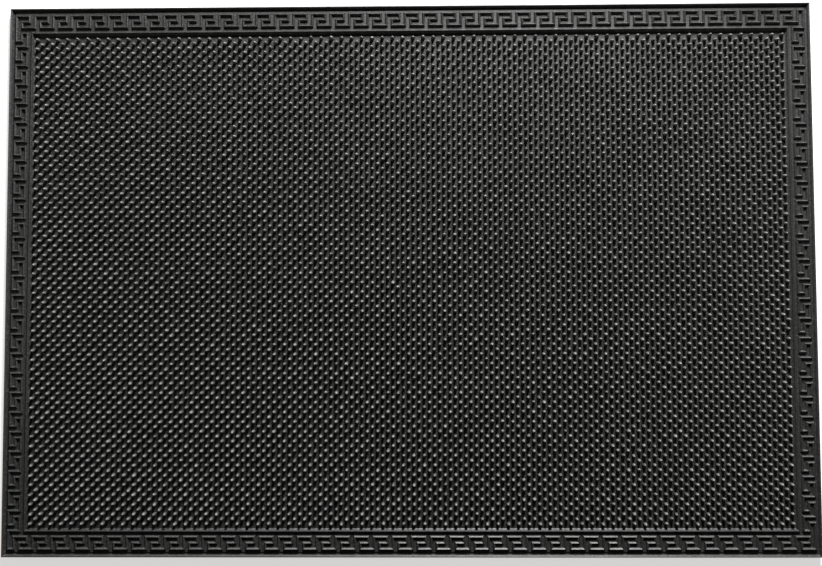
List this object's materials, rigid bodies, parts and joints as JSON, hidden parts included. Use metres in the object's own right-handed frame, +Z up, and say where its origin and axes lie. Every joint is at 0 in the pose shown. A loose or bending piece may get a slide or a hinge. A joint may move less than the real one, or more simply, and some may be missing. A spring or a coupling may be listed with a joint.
{
  "type": "door mat",
  "caption": "Rectangular moulded rubber door mat: a recessed field of small upright pins inside a raised border with a Greek key ridge.",
  "frame": {"origin": "centre of the flat underside", "axes": "+X along the longer side, to the right as seen from above; +Y towards the back; +Z up, out of the pins"},
  "size_m": [0.6, 0.409, 0.0065],
  "materials": {
    "base_rubber": "matt moulded black",
    "border_rubber": "satin moulded black",
    "relief_rubber": "satin moulded black",
    "pin_rubber": "slightly glossy moulded black"
  },
  "bodies": {
    "root": {"base_sheet": "base_rubber", "border_land_back": "border_rubber", "border_land_right": "border_rubber", "border_land_front": "border_rubber", "border_land_left": "border_rubber", "outer_rim_back": "relief_rubber", "outer_rim_right": "relief_rubber", "outer_rim_front": "relief_rubber", "outer_rim_left": "relief_rubber", "inner_rail_back": "relief_rubber", "inner_rail_right": "relief_rubber", "inner_rail_front": "relief_rubber", "inner_rail_left": "relief_rubber", "key_ridge_back": "relief_rubber", "key_ridge_right": "relief_rubber", "key_ridge_front": "relief_rubber", "key_ridge_left": "relief_rubber", "pin_field": "pin_rubber"}
  },
  "joints": []
}
